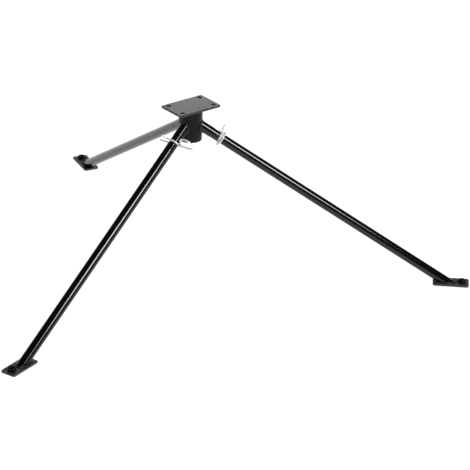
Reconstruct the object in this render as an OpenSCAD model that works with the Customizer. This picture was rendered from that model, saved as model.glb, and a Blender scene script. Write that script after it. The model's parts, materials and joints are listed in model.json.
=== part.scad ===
// Tripod hunting stand: a bolt-on seat plate that turns on a short hub, and three
// tube legs that slide onto the hub's sockets and are held there by spring clips.
// Origin: centre of the seat plate's top face. +Z is up, +X runs along the plate.

/* [Stand] */
// Height of the seat plate's top above the ground
seat_h = 452; // [300:1:700]
// Slope of the legs below the horizontal, in degrees
leg_slope = 31.4; // [20:0.1:50]
// Angle from the plate's long side to the front leg, in degrees
front_leg_angle = 196.6; // [0:0.1:360]

/* [Seat plate] */
// Length of the seat plate
plate_l = 127; // [110:1:200]
// Width of the seat plate
plate_w = 80; // [70:1:160]
// Thickness of the seat plate
plate_t = 6; // [3:0.5:12]
// Corner radius of the seat plate
plate_corner_r = 2.5; // [0.5:0.5:8]
// Distance from a bolt hole's centre to the plate's short edge
hole_inset_l = 14.5; // [10:0.5:20]
// Distance from a bolt hole's centre to the plate's long edge
hole_inset_w = 12; // [10:0.5:16]
// Diameter of the bolt holes
hole_d = 12; // [5:0.5:14]

/* [Hub] */
// Outer diameter of the hub tube
hub_d = 60.3; // [48:0.1:80]
// Wall of the hub tube
hub_wall = 3.6; // [2:0.1:6]
// How far the hub tube reaches below the leg sockets
hub_tail = 20; // [4:1:80]
// Depth of the point where the leg axes meet, below the plate's top
apex_drop = 37; // [25:0.5:70]

/* [Swivel] */
// Diameter of the stud under the plate
stud_d = 16; // [10:1:20]
// Radial running clearance of the stud in the hub disc
stud_clearance = 0.08; // [0.02:0.01:0.1]
// Thickness of the disc welded into the hub's top
disc_t = 8; // [5:0.5:14]
// Thickness of the nylon thrust washer
thrust_t = 2; // [1:0.5:4]
// How far the thrust washer stays inside the hub's edge
thrust_inset = 4; // [1:0.5:8]
// Thickness of the steel washer under the disc
stud_washer_t = 3; // [2:0.5:5]
// Diameter of the steel washer under the disc
stud_washer_d = 30; // [28:1:38]
// Width of the lock nut across its flats
nut_af = 24; // [22:1:30]
// Height of the lock nut
nut_h = 15; // [8:1:20]
// Length of stud that shows below the nut
stud_tail = 4; // [1:0.5:12]
// Gap between faces that turn on each other
face_clearance = 0.1; // [0.05:0.05:0.3]

/* [Legs] */
// Outer diameter of the leg tube
leg_d = 25.4; // [22:0.1:34]
// Wall of the leg tube
leg_wall = 1.5; // [1:0.1:3]
// Wall of the leg socket on the hub
socket_wall = 2.15; // [1:0.05:4]
// Gap between the hub and the start of the spigot
spigot_setback = 3; // [1:0.5:12]
// How far the spigot reaches into the leg tube
spigot_reach = 45; // [35:1:80]
// How far the spigot reaches into the socket
spigot_seat = 20; // [12:1:40]
// Wall of the spigot
spigot_wall = 2.5; // [1.5:0.1:4]
// Radial clearance of the spigot in the leg tube and the socket
spigot_clearance = 0.2; // [0.1:0.05:0.5]
// Gap left for weld between coped or plugged pieces
weld_gap = 0.2; // [0.1:0.05:0.5]

/* [Feet] */
// Width of a foot plate
foot_w = 42; // [30:1:80]
// Thickness of a foot plate
foot_t = 5; // [3:0.5:10]
// Corner radius of a foot plate
foot_corner_r = 6; // [0.5:0.5:12]
// Plate left behind the leg's heel
heel_margin = 8.6; // [4:0.1:30]
// Gap between the leg's toe and the boss
boss_gap = 7.1; // [4:0.1:30]
// Plate left past the boss
toe_margin = 7.5; // [2:0.1:30]
// Diameter of the raised boss on a foot plate
boss_d = 21; // [16:0.5:30]
// Height of the boss above the foot plate
boss_h = 7; // [3:0.5:15]
// Diameter of the peg hole through the boss and the plate
peg_hole_d = 9.5; // [5:0.5:12]

/* [Clips] */
// Diameter of the clip wire
wire_d = 4.5; // [3:0.1:5]
// Distance from the end of the socket to a clip
clip_offset = 20; // [12:1:30]
// Clearance all round the clip's shank in its holes
shank_clearance = 0.3; // [0.2:0.05:0.6]
// Length of shank past the far side of the leg tube
shank_tail = 26; // [8:1:40]
// Gap between the clip's arm and the leg tube
arm_gap = 1; // [0.4:0.1:2]
// Radius of the clip's ring, to the middle of the wire
ring_r = 18; // [12:0.5:24]
// Radius of the bend in the clip's neck
neck_r = 5.5; // [4:0.5:8]
// Gap between the neck and the shank
neck_gap = 0.5; // [0.3:0.1:2]
// Length of the neck's straight part, beside the shank
neck_straight = 6; // [1:0.5:15]
// Length of the straight part of the arm, from the top of the leg tube
arm_straight = 11; // [5:0.5:16]
// Radius of the bend at the arm's flare
flare_r = 10; // [6:0.5:14]
// Angle of the arm's flare, in degrees
flare_angle = 46; // [20:1:60]
// Length of the flare's straight end
flare_l = 8.5; // [4:0.5:14]

/* [Hidden] */
$fn = 64;

// Cuts run this far past the faces that they open.
cut_over = 1;

// The three legs, in the order front, right, back. The front and right legs hold
// clips: a clip's ring lies on the counterclockwise side of its leg for 1, and on
// the other side for -1.
leg_angles = [front_leg_angle, front_leg_angle + 120, front_leg_angle + 240];
clip_sides = [1, -1];
FRONT = 0;
RIGHT = 1;
BACK = 2;

// Heights in the swivel, from the plate's top down.
ground_z = -seat_h;
plate_under_z = -plate_t;
hub_top_z = plate_under_z - face_clearance - thrust_t;
disc_under_z = hub_top_z - disc_t;
stud_washer_top_z = disc_under_z - face_clearance;
nut_top_z = stud_washer_top_z - stud_washer_t;
stud_end_z = nut_top_z - nut_h - stud_tail;

leg_id = leg_d - 2 * leg_wall;
spigot_d = leg_id - 2 * spigot_clearance;
spigot_id = spigot_d - 2 * spigot_wall;
socket_id = leg_id;
socket_d = socket_id + 2 * socket_wall;
shank_hole_d = wire_d + 2 * shank_clearance;

hub_id = hub_d - 2 * hub_wall;
// The lowest point of the seam between a socket and the hub.
seam_low_z = -apex_drop - hub_d / 2 * tan(leg_slope) - socket_d / 2 / cos(leg_slope);
hub_l = hub_top_z - seam_low_z + hub_tail;
thrust_d = hub_d - 2 * thrust_inset;
bore_d = stud_d + 2 * stud_clearance;
hole_x = plate_l / 2 - hole_inset_l;
hole_y = plate_w / 2 - hole_inset_w;

// Along a leg's axis, from the point where the three axes meet.
leg_drop = seat_h - apex_drop - foot_t;
leg_reach = leg_drop / sin(leg_slope);
foot_r = leg_drop / tan(leg_slope);
// A spigot starts past the point where it has left the hub on every side.
spigot_start = (hub_d / 2 + spigot_d / 2 * sin(leg_slope)) / cos(leg_slope) + spigot_setback;
socket_end = spigot_start + spigot_seat;
spigot_end = socket_end + spigot_reach;
clip_s = socket_end + clip_offset;

// Along a foot plate, from the point where the leg's axis meets it. The leg's
// slanting end reaches foot_half both ways.
foot_half = leg_d / 2 / sin(leg_slope);
foot_inner = foot_half + heel_margin;
boss_x = foot_half + boss_gap + boss_d / 2;
foot_l = foot_inner + boss_x + boss_d / 2 + toe_margin;

// The clip lies in a plane across the leg: x is along the shank and y is away
// from it, both from the leg's axis, to the middle of the wire. The ring, the
// neck's two bends, its straight and the arm over the tube touch, so their places
// follow from their radii.
arm_r = leg_d / 2 + arm_gap + wire_d / 2;
neck_y = wire_d + neck_gap + neck_r;
neck_x = sqrt(pow(arm_r + neck_r, 2) - pow(neck_y, 2));
neck_far_x = neck_x + neck_straight;
ring_x = neck_far_x + sqrt(pow(ring_r + neck_r, 2) - pow(ring_r - neck_y, 2));
arm_start = atan2(neck_y, neck_x);
ring_touch = atan2(ring_r - neck_y, ring_x - neck_far_x);
shank_tip_x = -leg_d / 2 - shank_tail;
tip_taper = wire_d / 2;
// The wire swells by this much where one length of it meets the next.
join_swell = 0.1;
flare_x = -arm_straight - flare_r * sin(flare_angle);
flare_y = arm_r + flare_r * (1 - cos(flare_angle));
flare_tip_x = flare_x - flare_l * cos(flare_angle);
flare_tip_y = flare_y + flare_l * sin(flare_angle);

module rounded_plate(l, w, t, r) {
    linear_extrude(t) {
        square([l - 2 * r, w], center = true);
        square([l, w - 2 * r], center = true);
        for (x = [-1, 1], y = [-1, 1])
            translate([x * (l / 2 - r), y * (w / 2 - r)])
                circle(r);
    }
}

// Places its children in a leg's frame: x runs down the leg's axis from the
// point where the axes meet, y is level, and z is square to both.
module on_leg(i) {
    rotate([0, 0, leg_angles[i]])
        translate([0, 0, -apex_drop])
            rotate([0, leg_slope, 0])
                children();
}

// Places its children on the ground where a leg's axis meets its foot plate,
// with x pointing outwards.
module at_foot(i) {
    rotate([0, 0, leg_angles[i]])
        translate([foot_r, 0, ground_z])
            children();
}

module along_leg(from, to, d) {
    translate([from, 0, 0])
        rotate([0, 90, 0])
            cylinder(h = to - from, d = d);
}

module shank_hole() {
    translate([clip_s, 0, 0])
        rotate([90, 0, 0])
            cylinder(h = 2 * leg_d, d = shank_hole_d, center = true);
}

module seat_plate() {
    color("#3b3b3f")
        difference() {
            translate([0, 0, plate_under_z])
                rounded_plate(plate_l, plate_w, plate_t, plate_corner_r);
            for (x = [-1, 1], y = [-1, 1])
                translate([x * hole_x, y * hole_y, plate_under_z - cut_over])
                    cylinder(h = plate_t + 2 * cut_over, d = hole_d);
        }
}

module swivel_stud() {
    color("#b8bcc0")
        translate([0, 0, stud_end_z])
            cylinder(h = plate_under_z - stud_end_z, d = stud_d);
}

module stud_washer() {
    color("#b8bcc0")
        translate([0, 0, nut_top_z])
            difference() {
                cylinder(h = stud_washer_t, d = stud_washer_d);
                translate([0, 0, -cut_over])
                    cylinder(h = stud_washer_t + 2 * cut_over, d = bore_d);
            }
}

module lock_nut() {
    color("#b8bcc0")
        translate([0, 0, nut_top_z - nut_h])
            difference() {
                cylinder(h = nut_h, d = nut_af / cos(30), $fn = 6);
                translate([0, 0, -cut_over])
                    cylinder(h = nut_h + 2 * cut_over, d = bore_d);
            }
}

module thrust_washer() {
    color("#1c1c1c")
        translate([0, 0, hub_top_z])
            difference() {
                cylinder(h = thrust_t, d = thrust_d);
                translate([0, 0, -cut_over])
                    cylinder(h = thrust_t + 2 * cut_over, d = bore_d);
            }
}

module hub_disc() {
    color("#2b2b2e")
        translate([0, 0, disc_under_z])
            difference() {
                cylinder(h = disc_t, d = hub_id - 2 * weld_gap);
                translate([0, 0, -cut_over])
                    cylinder(h = disc_t + 2 * cut_over, d = bore_d);
            }
}

module hub_tube() {
    color("#2b2b2e")
        translate([0, 0, hub_top_z - hub_l])
            difference() {
                cylinder(h = hub_l, d = hub_d);
                translate([0, 0, -cut_over])
                    cylinder(h = hub_l + 2 * cut_over, d = hub_id);
            }
}

// The socket is coped to the hub, and its bore takes the spigot.
module socket(i) {
    color("#161618")
        difference() {
            on_leg(i)
                difference() {
                    along_leg(0, socket_end, socket_d);
                    along_leg(-cut_over, socket_end + cut_over, socket_id);
                }
            translate([0, 0, -apex_drop - hub_d])
                cylinder(h = 2 * hub_d, d = hub_d + 2 * weld_gap);
        }
}

module spigot(i) {
    color("#8d9094")
        on_leg(i)
            difference() {
                along_leg(spigot_start, spigot_end, spigot_d);
                along_leg(spigot_start - cut_over, spigot_end + cut_over, spigot_id);
                shank_hole();
            }
}

// The leg tube's lower end is cut level, to sit on the foot plate.
module leg(i) {
    color("#161618")
        difference() {
            on_leg(i)
                difference() {
                    along_leg(socket_end, leg_reach + 2 * leg_d, leg_d);
                    along_leg(socket_end - cut_over, leg_reach + 3 * leg_d, leg_id);
                    shank_hole();
                }
            at_foot(i)
                translate([-2 * leg_d, -leg_d, foot_t - 4 * leg_d])
                    cube([8 * leg_d, 2 * leg_d, 4 * leg_d]);
        }
}

module peg_hole() {
    translate([boss_x, 0, -cut_over])
        cylinder(h = foot_t + boss_h + 2 * cut_over, d = peg_hole_d);
}

module foot_plate(i) {
    color("#161618")
        at_foot(i)
            difference() {
                translate([foot_l / 2 - foot_inner, 0, 0])
                    rounded_plate(foot_l, foot_w, foot_t, foot_corner_r);
                peg_hole();
            }
}

module foot_boss(i) {
    color("#161618")
        at_foot(i)
            difference() {
                translate([boss_x, 0, foot_t])
                    cylinder(h = boss_h, d = boss_d);
                peg_hole();
            }
}

module wire_arc(x, y, r, from, to) {
    translate([x, y, 0])
        rotate([0, 0, from])
            rotate_extrude(angle = to - from)
                translate([r, 0])
                    circle(d = wire_d);
}

module wire_straight(x, y, angle, l) {
    translate([x, y, 0])
        rotate([0, 0, angle])
            rotate([0, 90, 0])
                cylinder(h = l, d = wire_d);
}

module wire_join(x, y) {
    translate([x, y, 0])
        sphere(d = wire_d + join_swell);
}

module wire_tip(x, y, angle) {
    translate([x, y, 0])
        rotate([0, 0, angle])
            rotate([0, 90, 0])
                cylinder(h = tip_taper, d1 = wire_d, d2 = wire_d / 2);
}

// The whole wire, from the shank's tip round the ring and over the leg to the flare.
module clip_wire() {
    wire_tip(shank_tip_x, 0, 180);
    wire_straight(shank_tip_x, 0, 0, ring_x - shank_tip_x);
    wire_join(ring_x, 0);
    wire_arc(ring_x, ring_r, ring_r, -90, 180 + ring_touch);
    wire_join(ring_x - ring_r * cos(ring_touch), ring_r - ring_r * sin(ring_touch));
    wire_arc(neck_far_x, neck_y, neck_r, 270, 360 + ring_touch);
    wire_join(neck_far_x, neck_y - neck_r);
    wire_straight(neck_x, neck_y - neck_r, 0, neck_straight);
    wire_join(neck_x, neck_y - neck_r);
    wire_arc(neck_x, neck_y, neck_r, 180 + arm_start, 270);
    wire_join(arm_r * cos(arm_start), arm_r * sin(arm_start));
    wire_arc(0, 0, arm_r, arm_start, 90);
    wire_join(0, arm_r);
    wire_straight(-arm_straight, arm_r, 0, arm_straight);
    wire_join(-arm_straight, arm_r);
    wire_arc(-arm_straight, arm_r + flare_r, flare_r, 270 - flare_angle, 270);
    wire_join(flare_x, flare_y);
    wire_straight(flare_x, flare_y, 180 - flare_angle, flare_l);
    wire_join(flare_tip_x, flare_tip_y);
    wire_tip(flare_tip_x, flare_tip_y, 180 - flare_angle);
}

module clip(i) {
    color("#c9ccd0")
        on_leg(i)
            translate([clip_s, 0, 0])
                rotate([90, 0, 90])
                    mirror([clip_sides[i] < 0 ? 1 : 0, 0, 0])
                        clip_wire();
}

seat_plate();
swivel_stud();
stud_washer();
lock_nut();
thrust_washer();
hub_disc();
hub_tube();
socket(FRONT);  // front_socket
socket(RIGHT);  // right_socket
socket(BACK);  // back_socket
spigot(FRONT);  // front_spigot
spigot(RIGHT);  // right_spigot
spigot(BACK);  // back_spigot
leg(FRONT);  // front_leg
leg(RIGHT);  // right_leg
leg(BACK);  // back_leg
foot_plate(FRONT);  // front_foot_plate
foot_plate(RIGHT);  // right_foot_plate
foot_plate(BACK);  // back_foot_plate
foot_boss(FRONT);  // front_foot_boss
foot_boss(RIGHT);  // right_foot_boss
foot_boss(BACK);  // back_foot_boss
clip(FRONT);  // front_clip
clip(RIGHT);  // right_clip
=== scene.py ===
"""The looks of a low tripod stand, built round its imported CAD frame."""
import json
import math
import bmesh
import bpy
from mathutils import Matrix, Vector, noise


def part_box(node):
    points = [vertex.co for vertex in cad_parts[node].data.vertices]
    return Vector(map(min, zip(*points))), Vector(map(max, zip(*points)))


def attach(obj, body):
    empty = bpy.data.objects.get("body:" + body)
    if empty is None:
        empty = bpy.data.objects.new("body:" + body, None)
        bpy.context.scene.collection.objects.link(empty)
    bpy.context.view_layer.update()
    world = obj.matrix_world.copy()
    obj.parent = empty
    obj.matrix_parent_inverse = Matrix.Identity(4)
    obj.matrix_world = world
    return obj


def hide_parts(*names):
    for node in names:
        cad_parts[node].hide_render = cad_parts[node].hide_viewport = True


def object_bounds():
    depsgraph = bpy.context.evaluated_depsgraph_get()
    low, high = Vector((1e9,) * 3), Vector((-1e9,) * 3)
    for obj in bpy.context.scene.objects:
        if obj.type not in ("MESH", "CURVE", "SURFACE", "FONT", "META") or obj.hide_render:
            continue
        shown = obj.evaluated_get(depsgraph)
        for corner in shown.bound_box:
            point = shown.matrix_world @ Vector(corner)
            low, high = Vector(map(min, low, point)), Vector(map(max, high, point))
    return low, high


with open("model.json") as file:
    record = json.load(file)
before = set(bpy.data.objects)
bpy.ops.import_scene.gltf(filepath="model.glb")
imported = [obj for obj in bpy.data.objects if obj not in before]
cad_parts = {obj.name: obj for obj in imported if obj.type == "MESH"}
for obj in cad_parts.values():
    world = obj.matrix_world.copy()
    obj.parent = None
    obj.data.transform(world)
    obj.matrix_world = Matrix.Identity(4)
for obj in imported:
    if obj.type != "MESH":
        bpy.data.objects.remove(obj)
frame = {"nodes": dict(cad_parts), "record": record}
cad_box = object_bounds()

# Driving sizes, in metres and radians. Everything else comes from the frame.
LEG_NAMES = ("front", "right", "back")
LEG_SLOPE = math.radians(31.4)
LEG_RADIUS = 0.0127
SOCKET_RADIUS = 0.01335
PLATE_EDGE_ROUND = 0.0007
FOOT_EDGE_ROUND = 0.0006
BOSS_EDGE_ROUND = 0.0008
TUBE_EDGE_ROUND = 0.0004
WASHER_EDGE_ROUND = 0.0003
SOLE_OFFSET = 0.005

# How meshes are cleaned and eased.
SHARP_ANGLE = math.radians(35)
FLAT_ANGLE = math.radians(0.5)
EASED_ANGLE = math.radians(50)
EASED_SEGMENTS = 3
COPY_MERGE = 1e-6
RING_MERGE = 1e-7

# Weld beads: their thickness, their ripples, and how far a bead swells.
HUB_BEAD = 0.0022
FOOT_BEAD = 0.0024
BEAD_SIDES = 14
RING_IN_BEADS = 10
LEAST_RIPPLES = 8
RIPPLE_PITCH = 0.0026
RIPPLE_STEPS = 6
RIPPLE_LAG = 0.5
RIPPLE_SHAPE = 0.5
RIPPLE_LEVEL = 0.6
RIPPLE_SWELL = 0.13
WOBBLE_REACH = 2.2
WOBBLE_SWELL = 0.16
HUB_SEAM_LENGTH = 2.3
HUB_SEED = 1.0
FOOT_SEED = 11.0


# ---- Places worked out from the frame ----

def node_box(node):
    low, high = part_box(node)
    return Vector(low), Vector(high)


def mount_place(name):
    for mount in frame["record"]["mounts"]:
        if mount["name"] == name:
            return Vector(mount["pos_m"])
    raise ValueError("no mount called " + name)


hub_low, hub_high = node_box("hub_tube")
hub_radius = (hub_high.x - hub_low.x) / 2
ground_z = cad_box[0][2]
foot_top_z = node_box("front_foot_plate")[1].z


def body_of(node):
    for body, nodes in frame["record"]["behaviour"]["bodies"].items():
        if node in nodes:
            return body
    raise ValueError("no body holds " + node)


def leg_azimuth(leg):
    hole = mount_place(leg + "_peg_hole")
    return math.atan2(hole.y, hole.x)


def meeting_point():
    """Where the three leg axes cross on the swivel's axis."""
    sole = mount_place("front_sole")
    foot_radius = math.hypot(sole.x, sole.y) - SOLE_OFFSET
    return Vector((0, 0, foot_top_z + foot_radius * math.tan(LEG_SLOPE)))


meeting = meeting_point()


def leg_matrix(leg):
    """A leg's frame: x down its axis from the meeting point, y level, z square to both."""
    turn = Matrix.Rotation(leg_azimuth(leg), 4, "Z")
    dip = Matrix.Rotation(LEG_SLOPE, 4, "Y")
    return turn @ Matrix.Translation(meeting) @ dip


def foot_matrix(leg):
    """On top of a foot plate, where the leg's axis meets it, with x pointing outwards."""
    sole = mount_place(leg + "_sole")
    radius = math.hypot(sole.x, sole.y) - SOLE_OFFSET
    turn = Matrix.Rotation(leg_azimuth(leg), 4, "Z")
    return turn @ Matrix.Translation((radius, 0, foot_top_z))


# ---- Shader node groups ----

# Scales and cuts of the patterns that every coat or plated piece shares.
PATCH_SCALE = 14.0
PATCH_CUT = (0.42, 0.7)
SPECK_SCALE = 620.0
SPECK_CUT = (0.62, 0.74)
DUST_ROUGHNESS = 0.4
SPOT_SCALE = 900.0
SPOT_CUT = (0.6, 0.72)
SURFACE_OUTPUTS = [
    ("Color", "NodeSocketColor"),
    ("Roughness", "NodeSocketFloat"),
    ("Height", "NodeSocketFloat"),
]


def new_group(name, inputs, outputs):
    group = bpy.data.node_groups.new(name, "ShaderNodeTree")
    for label, kind, value in inputs:
        socket = group.interface.new_socket(label, in_out="INPUT", socket_type=kind)
        if value is not None:
            socket.default_value = value
    for label, kind in outputs:
        group.interface.new_socket(label, in_out="OUTPUT", socket_type=kind)
    return group, group.nodes.new("NodeGroupInput"), group.nodes.new("NodeGroupOutput")


def add_noise(tree, vector, scale, detail, rough=0.5):
    node = tree.nodes.new("ShaderNodeTexNoise")
    node.inputs["Detail"].default_value = detail
    node.inputs["Roughness"].default_value = rough
    tree.links.new(vector, node.inputs["Vector"])
    if isinstance(scale, (int, float)):
        node.inputs["Scale"].default_value = scale
    else:
        tree.links.new(scale, node.inputs["Scale"])
    return node.outputs["Fac"]


def add_math(tree, operation, *values):
    node = tree.nodes.new("ShaderNodeMath")
    node.operation = operation
    for socket, value in zip(node.inputs, values):
        if isinstance(value, (int, float)):
            socket.default_value = value
        else:
            tree.links.new(value, socket)
    return node.outputs[0]


def add_ramp(tree, value, low, high):
    """0 below low, 1 above high, smooth between."""
    node = tree.nodes.new("ShaderNodeMapRange")
    node.interpolation_type = "SMOOTHSTEP"
    node.inputs["From Min"].default_value = low
    node.inputs["From Max"].default_value = high
    tree.links.new(value, node.inputs["Value"])
    return node.outputs["Result"]


def add_mix(tree, factor, first, second):
    node = tree.nodes.new("ShaderNodeMix")
    node.data_type = "RGBA"
    sockets = (node.inputs[0], node.inputs[6], node.inputs[7])
    for socket, value in zip(sockets, (factor, first, second)):
        if hasattr(value, "is_output"):
            tree.links.new(value, socket)
        else:
            socket.default_value = value
    return node.outputs[2]


def make_sprayed_coat_group():
    """A sprayed paint or powder coat: its grain, its flow and a little settled dust."""
    group, given, result = new_group(
        "sprayed coat",
        [
            ("Vector", "NodeSocketVector", None),
            ("Paint", "NodeSocketColor", (0.02, 0.02, 0.02, 1)),
            ("Dust Color", "NodeSocketColor", (0.25, 0.24, 0.22, 1)),
            ("Dust", "NodeSocketFloat", 0.1),
            ("Roughness", "NodeSocketFloat", 0.3),
            ("Roughness Spread", "NodeSocketFloat", 0.05),
            ("Grain Scale", "NodeSocketFloat", 900.0),
            ("Flow Scale", "NodeSocketFloat", 120.0),
            ("Flow", "NodeSocketFloat", 0.5),
        ],
        SURFACE_OUTPUTS,
    )
    vector = given.outputs["Vector"]
    grain = add_noise(group, vector, given.outputs["Grain Scale"], detail=4.0, rough=0.6)
    flow = add_noise(group, vector, given.outputs["Flow Scale"], detail=2.0, rough=0.45)
    patches = add_noise(group, vector, PATCH_SCALE, detail=3.0, rough=0.55)
    fine = add_noise(group, vector, SPECK_SCALE, detail=2.0, rough=0.7)
    specks = add_ramp(group, fine, *SPECK_CUT)
    settled = add_math(group, "MULTIPLY", specks, add_ramp(group, patches, *PATCH_CUT))
    dust = add_math(group, "MULTIPLY", settled, given.outputs["Dust"])
    group.links.new(
        add_mix(group, dust, given.outputs["Paint"], given.outputs["Dust Color"]),
        result.inputs["Color"],
    )
    uneven = add_math(group, "SUBTRACT", add_math(group, "ADD", patches, flow), 1.0)
    spread = add_math(group, "MULTIPLY", uneven, given.outputs["Roughness Spread"])
    rough = add_math(group, "ADD", given.outputs["Roughness"], spread)
    group.links.new(
        add_math(group, "ADD", rough, add_math(group, "MULTIPLY", dust, DUST_ROUGHNESS)),
        result.inputs["Roughness"],
    )
    coarse = add_math(group, "MULTIPLY", flow, given.outputs["Flow"])
    group.links.new(add_math(group, "ADD", grain, coarse), result.inputs["Height"])
    return group


def make_plated_metal_group():
    """Zinc plate or drawn tube: cloudy patches and small dull spots."""
    group, given, result = new_group(
        "plated metal",
        [
            ("Vector", "NodeSocketVector", None),
            ("Bright", "NodeSocketColor", (0.8, 0.82, 0.84, 1)),
            ("Dull", "NodeSocketColor", (0.5, 0.52, 0.54, 1)),
            ("Roughness", "NodeSocketFloat", 0.2),
            ("Roughness Spread", "NodeSocketFloat", 0.15),
            ("Cloud Scale", "NodeSocketFloat", 160.0),
        ],
        SURFACE_OUTPUTS,
    )
    vector = given.outputs["Vector"]
    clouds = add_noise(group, vector, given.outputs["Cloud Scale"], detail=4.0, rough=0.6)
    fine = add_noise(group, vector, SPOT_SCALE, detail=2.0, rough=0.6)
    spots = add_ramp(group, fine, *SPOT_CUT)
    dull = add_math(group, "MULTIPLY", add_math(group, "ADD", clouds, spots), 0.5)
    group.links.new(
        add_mix(group, dull, given.outputs["Bright"], given.outputs["Dull"]),
        result.inputs["Color"],
    )
    spread = add_math(group, "MULTIPLY", clouds, given.outputs["Roughness Spread"])
    group.links.new(
        add_math(group, "ADD", given.outputs["Roughness"], spread),
        result.inputs["Roughness"],
    )
    group.links.new(clouds, result.inputs["Height"])
    return group


sprayed_coat = make_sprayed_coat_group()
plated_metal = make_plated_metal_group()


# ---- Materials ----

def new_material(name, group, settings, bump_strength, bump_distance, plain):
    """A material whose looks come from one group. plain sets values on the shader itself."""
    material = bpy.data.materials.new(name)
    material.use_nodes = True
    tree = material.node_tree
    shader = tree.nodes["Principled BSDF"]
    place = tree.nodes.new("ShaderNodeTexCoord")
    looks = tree.nodes.new("ShaderNodeGroup")
    looks.node_tree = group
    tree.links.new(place.outputs["Object"], looks.inputs["Vector"])
    for label, value in settings.items():
        looks.inputs[label].default_value = value
    tree.links.new(looks.outputs["Color"], shader.inputs["Base Color"])
    tree.links.new(looks.outputs["Roughness"], shader.inputs["Roughness"])
    bump = tree.nodes.new("ShaderNodeBump")
    bump.inputs["Strength"].default_value = bump_strength
    bump.inputs["Distance"].default_value = bump_distance
    tree.links.new(looks.outputs["Height"], bump.inputs["Height"])
    tree.links.new(bump.outputs["Normal"], shader.inputs["Normal"])
    for label, value in plain.items():
        shader.inputs[label].default_value = value
    return material


gloss_black = new_material(
    "gloss_black_paint", sprayed_coat,
    {
        "Paint": (0.0022, 0.0022, 0.0026, 1), "Dust": 0.05, "Roughness": 0.11,
        "Roughness Spread": 0.03, "Grain Scale": 1400.0, "Flow Scale": 160.0, "Flow": 1.5,
    },
    0.03, 0.0001, {"IOR": 1.45},
)
plate_coat = new_material(
    "plate_powder_coat", sprayed_coat,
    {
        "Paint": (0.016, 0.016, 0.018, 1), "Dust": 0.12, "Roughness": 0.40,
        "Roughness Spread": 0.08, "Grain Scale": 1500.0, "Flow Scale": 420.0, "Flow": 0.8,
    },
    0.14, 0.0003, {"IOR": 1.5},
)
foot_coat = new_material(
    "foot_satin_paint", sprayed_coat,
    {
        "Paint": (0.045, 0.045, 0.046, 1), "Dust": 0.16, "Roughness": 0.34,
        "Roughness Spread": 0.10, "Grain Scale": 1400.0, "Flow Scale": 300.0, "Flow": 1.0,
    },
    0.14, 0.0003, {"IOR": 1.5},
)
hub_coat = new_material(
    "hub_powder_coat", sprayed_coat,
    {
        "Paint": (0.003, 0.0034, 0.0036, 1), "Dust": 0.05, "Roughness": 0.42,
        "Roughness Spread": 0.08, "Grain Scale": 1300.0, "Flow Scale": 380.0, "Flow": 0.8,
    },
    0.12, 0.0003, {"IOR": 1.26},
)
painted_weld = new_material(
    "painted_weld", sprayed_coat,
    {
        "Paint": (0.006, 0.006, 0.007, 1), "Dust": 0.22, "Roughness": 0.22,
        "Roughness Spread": 0.12, "Grain Scale": 1100.0, "Flow Scale": 500.0, "Flow": 1.5,
    },
    0.30, 0.0003, {"IOR": 1.5},
)
zinc = new_material(
    "bright_zinc", plated_metal,
    {
        "Bright": (0.94, 0.95, 0.96, 1), "Dull": (0.78, 0.80, 0.82, 1),
        "Roughness": 0.34, "Roughness Spread": 0.12, "Cloud Scale": 190.0,
    },
    0.08, 0.0002, {"Metallic": 0.4},
)
drawn_steel = new_material(
    "drawn_steel", plated_metal,
    {
        "Bright": (0.55, 0.56, 0.58, 1), "Dull": (0.32, 0.33, 0.35, 1),
        "Roughness": 0.28, "Roughness Spread": 0.2, "Cloud Scale": 120.0,
    },
    0.12, 0.0002, {"Metallic": 1.0},
)
nylon = new_material(
    "black_nylon", sprayed_coat,
    {
        "Paint": (0.012, 0.012, 0.013, 1), "Dust": 0.05, "Roughness": 0.45,
        "Roughness Spread": 0.05, "Grain Scale": 700.0, "Flow Scale": 200.0, "Flow": 0.4,
    },
    0.15, 0.0002, {"IOR": 1.53},
)


# ---- Making pieces ----

def new_piece(name, bm, material, body):
    """Turns a bmesh into a smooth piece of one material that rides on a body."""
    for face in bm.faces:
        face.smooth = True
    mesh = bpy.data.meshes.new(name)
    bm.to_mesh(mesh)
    bm.free()
    mesh.set_sharp_from_angle(angle=SHARP_ANGLE)
    mesh.materials.append(material)
    piece = bpy.data.objects.new(name, mesh)
    bpy.context.scene.collection.objects.link(piece)
    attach(piece, body)
    return piece


def rounded_copy(node, width, material):
    """Stands for a CAD node, with the same shape and its sharp edges eased by width."""
    bm = bmesh.new()
    bm.from_mesh(frame["nodes"][node].data)
    bmesh.ops.remove_doubles(bm, verts=bm.verts, dist=COPY_MERGE)
    bmesh.ops.dissolve_limit(bm, angle_limit=FLAT_ANGLE, verts=bm.verts, edges=bm.edges)
    piece = new_piece(node + "_eased", bm, material, body_of(node))
    bevel = piece.modifiers.new("eased edges", "BEVEL")
    bevel.width = width
    bevel.segments = EASED_SEGMENTS
    bevel.limit_method = "ANGLE"
    bevel.angle_limit = EASED_ANGLE
    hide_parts(node)
    return piece


def finish_node(node, material):
    """Gives a CAD node its material."""
    frame["nodes"][node].data.materials.clear()
    frame["nodes"][node].data.materials.append(material)


def spun_ring(ring_radius, bead_radius, steps):
    """A ring of round section about Z, made by spinning a circle."""
    bm = bmesh.new()
    made = bmesh.ops.create_circle(
        bm, segments=BEAD_SIDES, radius=bead_radius,
        matrix=Matrix.Translation((ring_radius, 0, 0)) @ Matrix.Rotation(math.pi / 2, 4, "X"),
    )
    bmesh.ops.spin(
        bm, geom=made["verts"] + list(bm.edges), cent=(0, 0, 0), axis=(0, 0, 1),
        angle=2 * math.pi, steps=steps, use_merge=True,
    )
    bmesh.ops.remove_doubles(bm, verts=bm.verts, dist=RING_MERGE)
    bmesh.ops.recalc_face_normals(bm, faces=bm.faces)
    return bm


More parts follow.
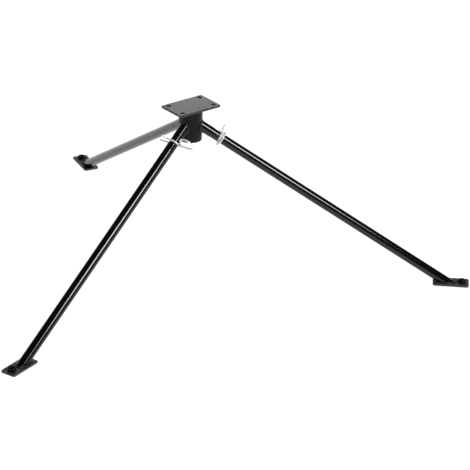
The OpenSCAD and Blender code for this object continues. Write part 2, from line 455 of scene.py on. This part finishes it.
def weld_bead(name, node, place, path, length, bead, seed):
    """A rippled weld bead on a node. path(angle) gives a point and two directions across it."""
    ripples = max(LEAST_RIPPLES, round(length / RIPPLE_PITCH))
    unit = RING_IN_BEADS * bead
    bm = spun_ring(unit, bead, ripples * RIPPLE_STEPS)
    for vert in bm.verts:
        angle = math.atan2(vert.co.y, vert.co.x)
        out = math.hypot(vert.co.x, vert.co.y) - unit
        up = vert.co.z
        centre, outward, along = path(angle)
        lag = RIPPLE_LAG * (up / bead)
        phase = (angle / (2 * math.pi) * ripples + lag) % 1.0
        across = WOBBLE_REACH * math.cos(angle)
        wobble = noise.noise(Vector((across, WOBBLE_REACH * math.sin(angle), seed)))
        ripple = RIPPLE_SWELL * (phase ** RIPPLE_SHAPE - RIPPLE_LEVEL)
        swell = 1.0 + ripple + WOBBLE_SWELL * wobble
        vert.co = place @ (centre + outward * (out * swell) + along * (up * swell))
    bmesh.ops.recalc_face_normals(bm, faces=bm.faces)
    return new_piece(name, bm, painted_weld, body_of(node))


def hub_weld(leg, seed):
    """Follows the seam of a socket on the round hub."""

    def path(angle):
        y = SOCKET_RADIUS * math.cos(angle)
        z = SOCKET_RADIUS * math.sin(angle)
        reach = math.sqrt(hub_radius ** 2 - y ** 2)
        x = (reach - z * math.sin(LEG_SLOPE)) / math.cos(LEG_SLOPE)
        outward = Vector((0, math.cos(angle), math.sin(angle)))
        return Vector((x, y, z)), outward, Vector((1, 0, 0))

    length = HUB_SEAM_LENGTH * math.pi * SOCKET_RADIUS
    name = leg + "_hub_weld"
    return weld_bead(name, leg + "_socket", leg_matrix(leg), path, length, HUB_BEAD, seed)


def foot_weld(leg, seed):
    """Follows the slanting cut of a leg tube on its foot plate."""
    long_half = LEG_RADIUS / math.sin(LEG_SLOPE)

    def path(angle):
        centre = Vector((long_half * math.cos(angle), LEG_RADIUS * math.sin(angle), 0))
        outward = Vector((math.cos(angle) / long_half, math.sin(angle) / LEG_RADIUS, 0))
        return centre, outward.normalized(), Vector((0, 0, 1))

    length = math.pi * (long_half + LEG_RADIUS)
    name = leg + "_foot_weld"
    return weld_bead(name, leg + "_leg", foot_matrix(leg), path, length, FOOT_BEAD, seed)


# ---- The object ----

rounded_copy("seat_plate", PLATE_EDGE_ROUND, plate_coat)
rounded_copy("hub_tube", TUBE_EDGE_ROUND, hub_coat)
rounded_copy("stud_washer", WASHER_EDGE_ROUND, zinc)
rounded_copy("lock_nut", WASHER_EDGE_ROUND, zinc)
finish_node("swivel_stud", zinc)
finish_node("thrust_washer", nylon)
finish_node("hub_disc", hub_coat)
for number, leg in enumerate(LEG_NAMES):
    rounded_copy(leg + "_foot_plate", FOOT_EDGE_ROUND, foot_coat)
    rounded_copy(leg + "_foot_boss", BOSS_EDGE_ROUND, gloss_black)
    finish_node(leg + "_socket", gloss_black)
    finish_node(leg + "_leg", gloss_black)
    finish_node(leg + "_spigot", drawn_steel)
    hub_weld(leg, HUB_SEED + number)
    foot_weld(leg, FOOT_SEED + number)
for clip in ("front_clip", "right_clip"):
    finish_node(clip, zinc)


# ---- Floor, light and camera ----

# Distances are in metres and powers in watts. A direction points from the seat
# plate to the light, and a fade gives where it starts and ends.
FLOOR_HALF = 60.0
FLOOR_COLOR = (0.2, 0.2, 0.2, 1)
FLOOR_ROUGHNESS = 0.9
FLOOR_GLOW = 1.05
LIGHT_DISTANCE = 3.0
KEY_DIRECTION = (0.16, -0.762, 0.629)
KEY_SIZE = (0.9, 1.0)
KEY_POWER = 58.0
BACK_DIRECTION = (0.577, 0.689, 0.439)
BACK_SIZE = (0.9, 0.8)
BACK_POWER = 9.6
BEHIND = (0.64, 0.77, 0.0)
BEHIND_FADE = (-0.25, 0.35)
RISE_FADE = (0.05, 0.42)
HORIZON_COLOR = (0.95, 0.95, 0.95, 1)
DARK_COLOR = (0.045, 0.045, 0.05, 1)
CAMERA_PLACE = Vector((-3.5181, -4.3925, 2.3937))
CAMERA_RIGHT = Vector((0.7770, -0.6285, 0.0349))
CAMERA_UP = Vector((0.2521, 0.3615, 0.8976))
CAMERA_LENS = 186.03
CAMERA_SENSOR = 36.0
CAMERA_REACH = 200.0


def make_floor():
    """A white floor at the height of the soles."""
    bm = bmesh.new()
    level = Matrix.Translation((0, 0, ground_z))
    bmesh.ops.create_grid(bm, x_segments=1, y_segments=1, size=FLOOR_HALF, matrix=level)
    mesh = bpy.data.meshes.new("floor")
    bm.to_mesh(mesh)
    bm.free()
    material = bpy.data.materials.new("white_floor")
    material.use_nodes = True
    shader = material.node_tree.nodes["Principled BSDF"]
    shader.inputs["Base Color"].default_value = FLOOR_COLOR
    shader.inputs["Roughness"].default_value = FLOOR_ROUGHNESS
    shader.inputs["Specular IOR Level"].default_value = 0.0
    shader.inputs["Emission Color"].default_value = (1, 1, 1, 1)
    shader.inputs["Emission Strength"].default_value = FLOOR_GLOW
    mesh.materials.append(material)
    floor = bpy.data.objects.new("floor", mesh)
    bpy.context.scene.collection.objects.link(floor)


def make_softbox(name, direction, size, power):
    """A soft rectangle of light, aimed at the seat plate."""
    light = bpy.data.lights.new(name, "AREA")
    light.shape = "RECTANGLE"
    light.size, light.size_y = size
    light.energy = power
    lamp = bpy.data.objects.new(name, light)
    bpy.context.scene.collection.objects.link(lamp)
    away = Vector(direction).normalized()
    lamp.location = away * LIGHT_DISTANCE
    lamp.rotation_euler = away.to_track_quat("Z", "Y").to_euler()


def make_world():
    """A dark studio with a white horizon behind the stand."""
    world = bpy.data.worlds.new("studio")
    world.use_nodes = True
    tree = world.node_tree
    place = tree.nodes.new("ShaderNodeTexCoord")
    parts = tree.nodes.new("ShaderNodeSeparateXYZ")
    tree.links.new(place.outputs["Generated"], parts.inputs["Vector"])
    behind = tree.nodes.new("ShaderNodeVectorMath")
    behind.operation = "DOT_PRODUCT"
    tree.links.new(place.outputs["Generated"], behind.inputs[0])
    behind.inputs[1].default_value = BEHIND
    lit = add_ramp(tree, behind.outputs["Value"], *BEHIND_FADE)
    low = add_math(tree, "SUBTRACT", 1.0, add_ramp(tree, parts.outputs["Z"], *RISE_FADE))
    shade = add_mix(tree, add_math(tree, "MULTIPLY", lit, low), DARK_COLOR, HORIZON_COLOR)
    tree.links.new(shade, tree.nodes["Background"].inputs["Color"])
    bpy.context.scene.world = world


def make_camera():
    data = bpy.data.cameras.new("camera")
    data.sensor_width = CAMERA_SENSOR
    data.lens = CAMERA_LENS
    data.clip_end = CAMERA_REACH
    camera = bpy.data.objects.new("camera", data)
    bpy.context.scene.collection.objects.link(camera)
    right = CAMERA_RIGHT.normalized()
    back = right.cross(CAMERA_UP).normalized()
    up = back.cross(right)
    camera.rotation_euler = Matrix((right, up, back)).transposed().to_euler()
    camera.location = CAMERA_PLACE
    bpy.context.scene.camera = camera


make_floor()
make_softbox("key_softbox", KEY_DIRECTION, KEY_SIZE, KEY_POWER)
make_softbox("back_softbox", BACK_DIRECTION, BACK_SIZE, BACK_POWER)
make_world()
make_camera()
bpy.context.scene.view_settings.view_transform = "Standard"
